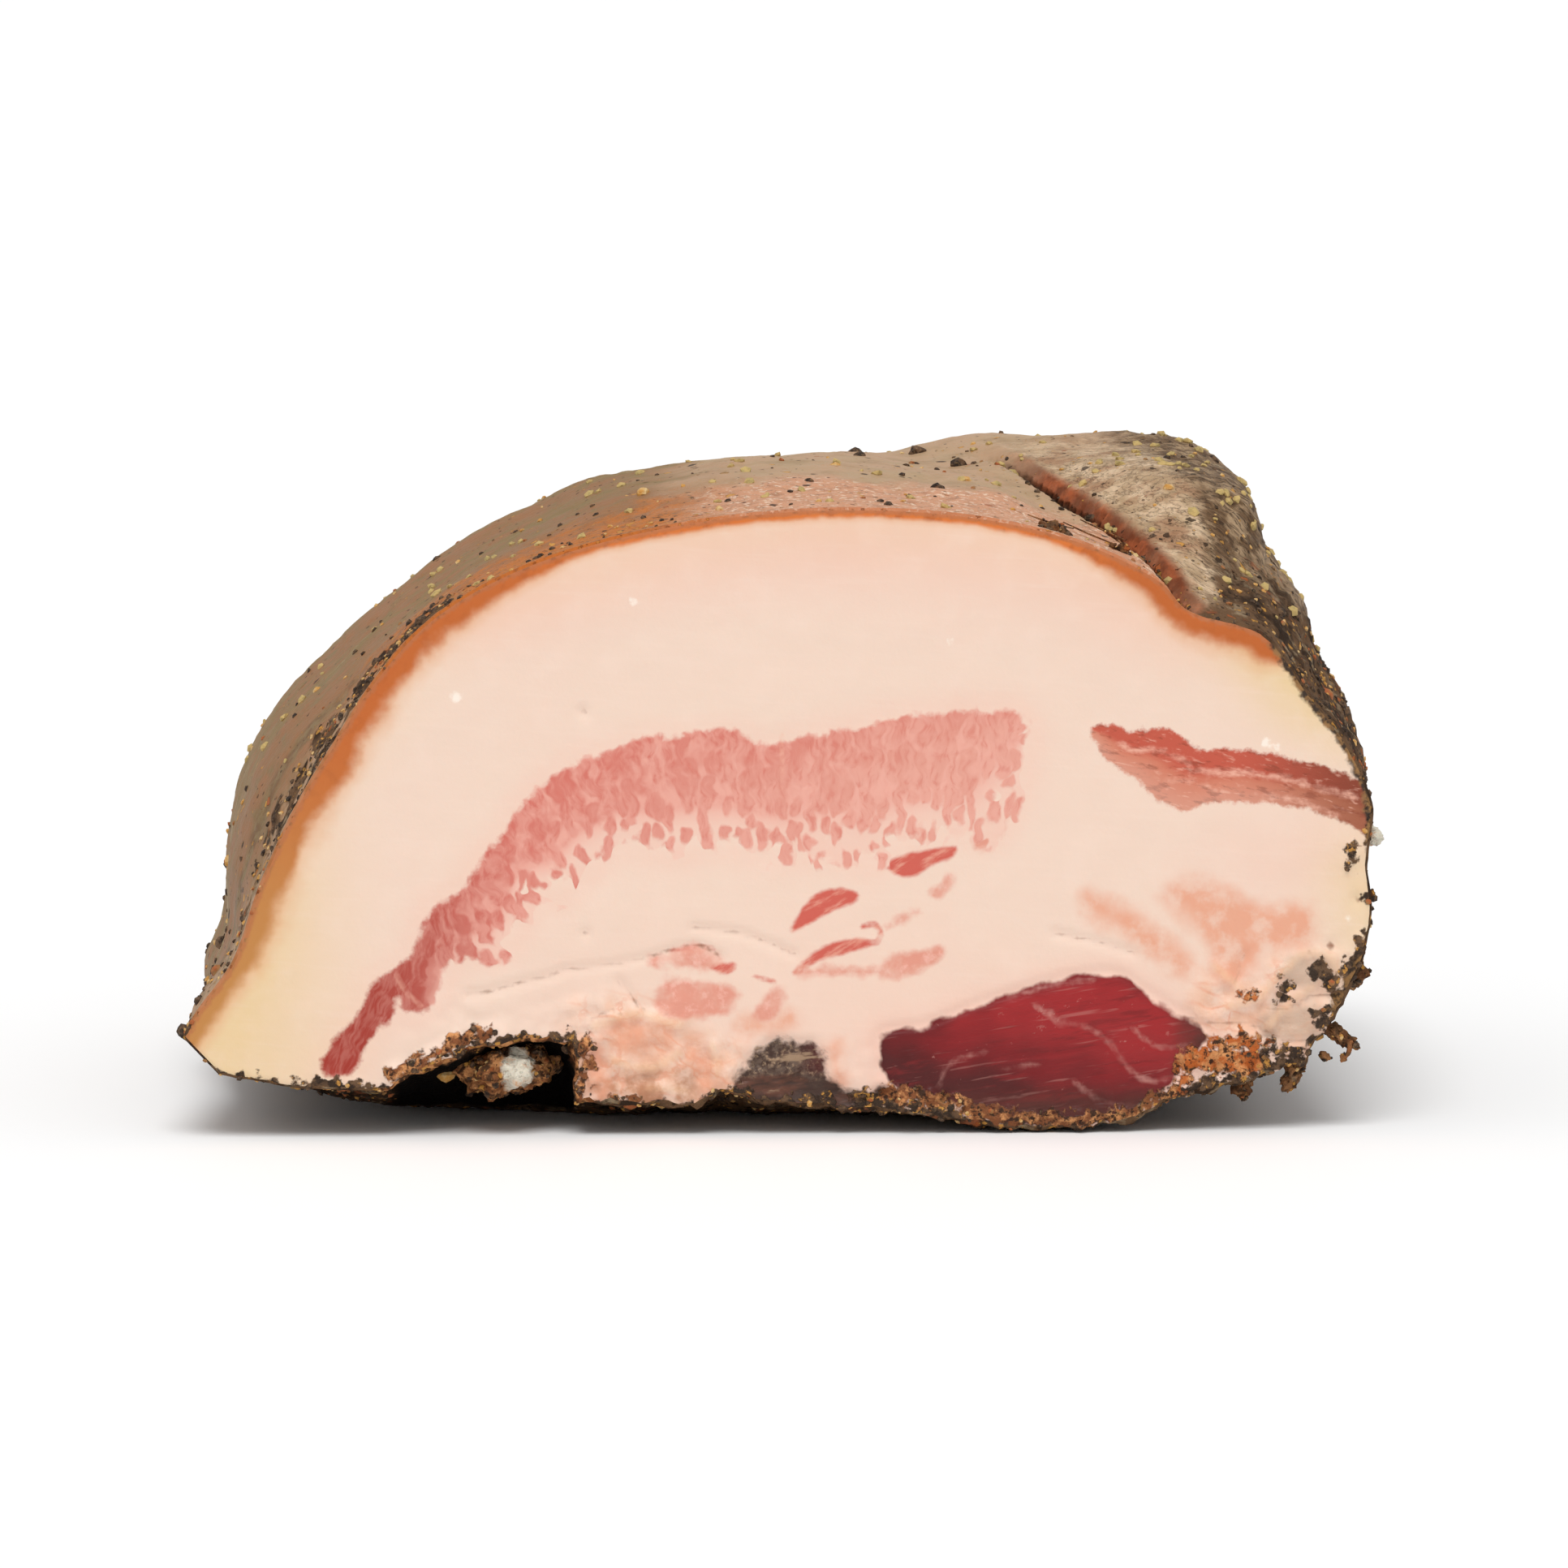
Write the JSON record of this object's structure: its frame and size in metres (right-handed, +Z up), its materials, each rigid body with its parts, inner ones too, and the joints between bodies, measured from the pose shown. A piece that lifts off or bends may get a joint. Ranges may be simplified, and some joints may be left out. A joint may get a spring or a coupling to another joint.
{
  "type": "half guanciale",
  "caption": "Half of a cured pork jowl, cut straight across: thick white fat with streaks of lean under an arched, peppered skin.",
  "frame": {"origin": "under the middle of the bounding box, on the surface that the piece rests on", "axes": "+Z up; the flat cut faces -Y and the rounded end is at +Y; +X is the viewer's right when facing the cut, where the trimmed side without skin is"},
  "size_m": [0.159, 0.128, 0.0861],
  "materials": {
    "crust": "satin",
    "pepper": "matte"
  },
  "bodies": {
    "root": {"guanciale": "crust"}
  },
  "joints": []
}
